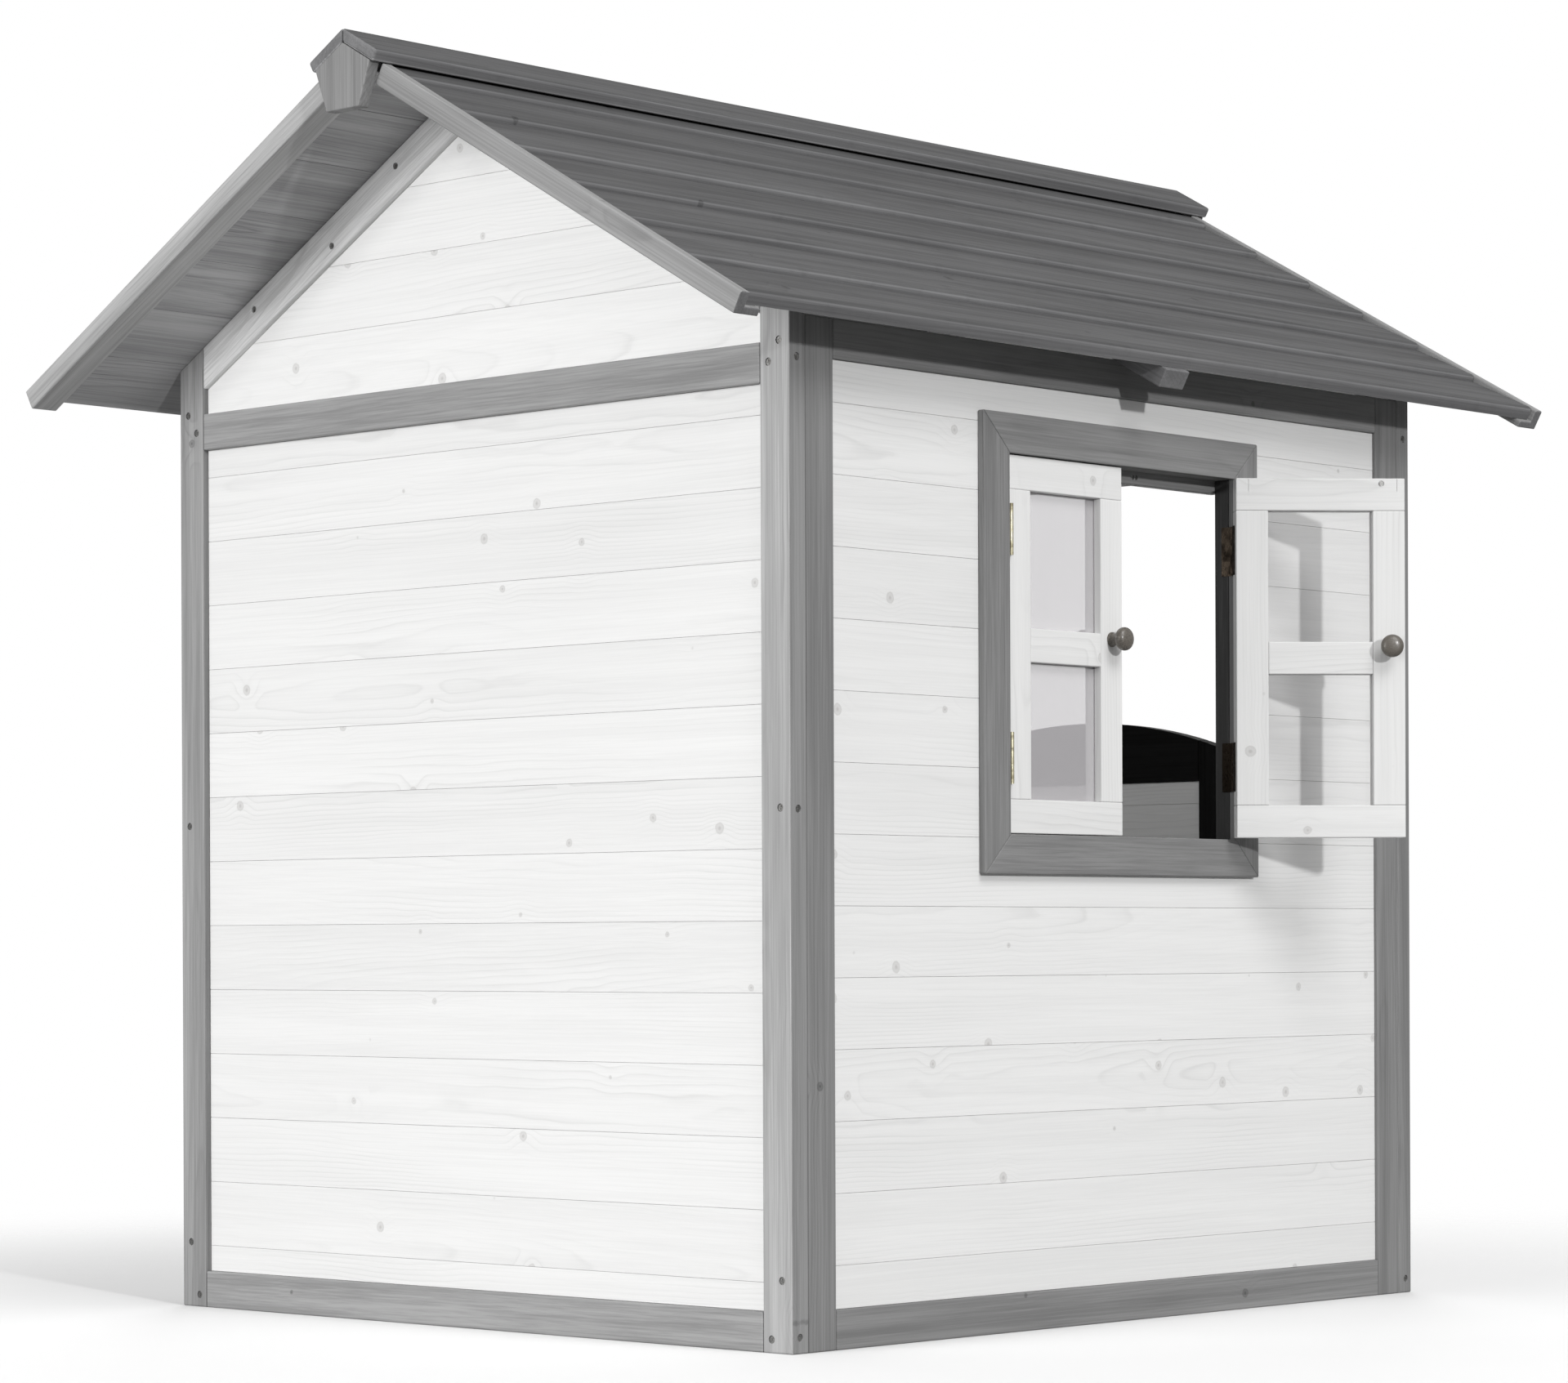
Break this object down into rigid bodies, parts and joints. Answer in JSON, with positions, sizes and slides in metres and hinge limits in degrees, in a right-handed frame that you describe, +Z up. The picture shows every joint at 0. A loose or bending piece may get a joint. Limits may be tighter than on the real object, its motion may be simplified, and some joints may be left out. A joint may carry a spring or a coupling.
{
  "type": "timber playhouse",
  "caption": "Small timber play house with a pitched board roof, horizontal board walls, a casement window with two glazed sashes and an arched half door.",
  "frame": {"origin": "on the ground, under the middle of the whole box around the house with its window sash open as stored", "axes": "+Z up, +Y out of the plain back gable, +X out of the plain side wall; the half door faces -Y and the window faces -X"},
  "size_m": [1.3219, 1.541, 1.5042],
  "materials": {
    "white_stain": "thin white stain over pine, grain and knots showing",
    "grey_stain": "mid grey stain over pine, satin",
    "roof_stain": "dark grey stain over pine, satin",
    "door_stain": "very dark grey stain over pine, satin",
    "knob_wood": "dark brown lacquered turned wood",
    "hinge_brass": "lightly tarnished brass plate",
    "pane": "clear acrylic sheet with a faint cool tint"
  },
  "bodies": {
    "house": {"back_stile_window_side": "grey_stain", "back_rake_window_side": "grey_stain", "back_stile_plain_side": "grey_stain", "back_rake_plain_side": "grey_stain", "back_bottom_rail": "grey_stain", "back_tie_rail": "grey_stain", "back_boards_upper": "white_stain", "back_boards_lower": "white_stain", "front_stile_window_side": "grey_stain", "front_rake_window_side": "grey_stain", "front_stile_plain_side": "grey_stain", "front_rake_plain_side": "grey_stain", "front_bottom_rail": "grey_stain", "front_tie_rail": "grey_stain", "front_boards_upper": "white_stain", "front_post_window_side": "grey_stain", "front_boards_window_side": "white_stain", "front_post_plain_side": "grey_stain", "front_boards_plain_side": "white_stain", "window_wall_stile_back": "grey_stain", "window_wall_stile_front": "grey_stain", "window_wall_bottom_rail": "grey_stain", "window_wall_top_rail": "grey_stain", "window_wall_boards": "white_stain", "plain_wall_stile_back": "grey_stain", "plain_wall_stile_front": "grey_stain", "plain_wall_bottom_rail": "grey_stain", "plain_wall_top_rail": "grey_stain", "plain_wall_boards": "white_stain", "window_frame": "grey_stain", "roof_boards_window_side": "roof_stain", "roof_mid_batten_window_side": "roof_stain", "ridge_cap_window_side": "roof_stain", "verge_batten_back_window_side": "grey_stain", "verge_batten_front_window_side": "grey_stain", "roof_boards_plain_side": "roof_stain", "roof_mid_batten_plain_side": "roof_stain", "ridge_cap_plain_side": "roof_stain", "verge_batten_back_plain_side": "grey_stain", "verge_batten_front_plain_side": "grey_stain", "ridge_block_back": "grey_stain", "ridge_block_front": "grey_stain", "back_sash_lower_hinge_fixed_leaf": "hinge_brass", "back_sash_upper_hinge_fixed_leaf": "hinge_brass", "front_sash_lower_hinge_fixed_leaf": "hinge_brass", "front_sash_upper_hinge_fixed_leaf": "hinge_brass"},
    "back_sash": {"back_sash_frame": "white_stain", "back_sash_pane": "pane", "back_sash_knob": "knob_wood", "back_sash_lower_hinge_moving_leaf": "hinge_brass", "back_sash_upper_hinge_moving_leaf": "hinge_brass"},
    "front_sash": {"front_sash_frame": "white_stain", "front_sash_pane": "pane", "front_sash_knob": "knob_wood", "front_sash_lower_hinge_moving_leaf": "hinge_brass", "front_sash_upper_hinge_moving_leaf": "hinge_brass"},
    "door": {"door_frame": "door_stain", "door_boards": "white_stain", "door_lower_hinge_leaf": "hinge_brass", "door_upper_hinge_leaf": "hinge_brass"}
  },
  "joints": [
    {"name": "back_sash_hinge", "type": "hinge", "parent": "house", "child": "back_sash", "pos_m": [-0.4844, 0.212, 0.7985], "axis": [0, 0, -1], "range_deg": [0, 160]},
    {"name": "front_sash_hinge", "type": "hinge", "parent": "house", "child": "front_sash", "pos_m": [-0.4844, -0.207, 0.7985], "axis": [0, 0, 1], "range_deg": [-136.4, 23.6]},
    {"name": "door_hinge", "type": "hinge", "parent": "house", "child": "door", "pos_m": [0.2903, -0.5862, 0.36], "axis": [0, 0, 1], "range_deg": [0, 150]}
  ]
}
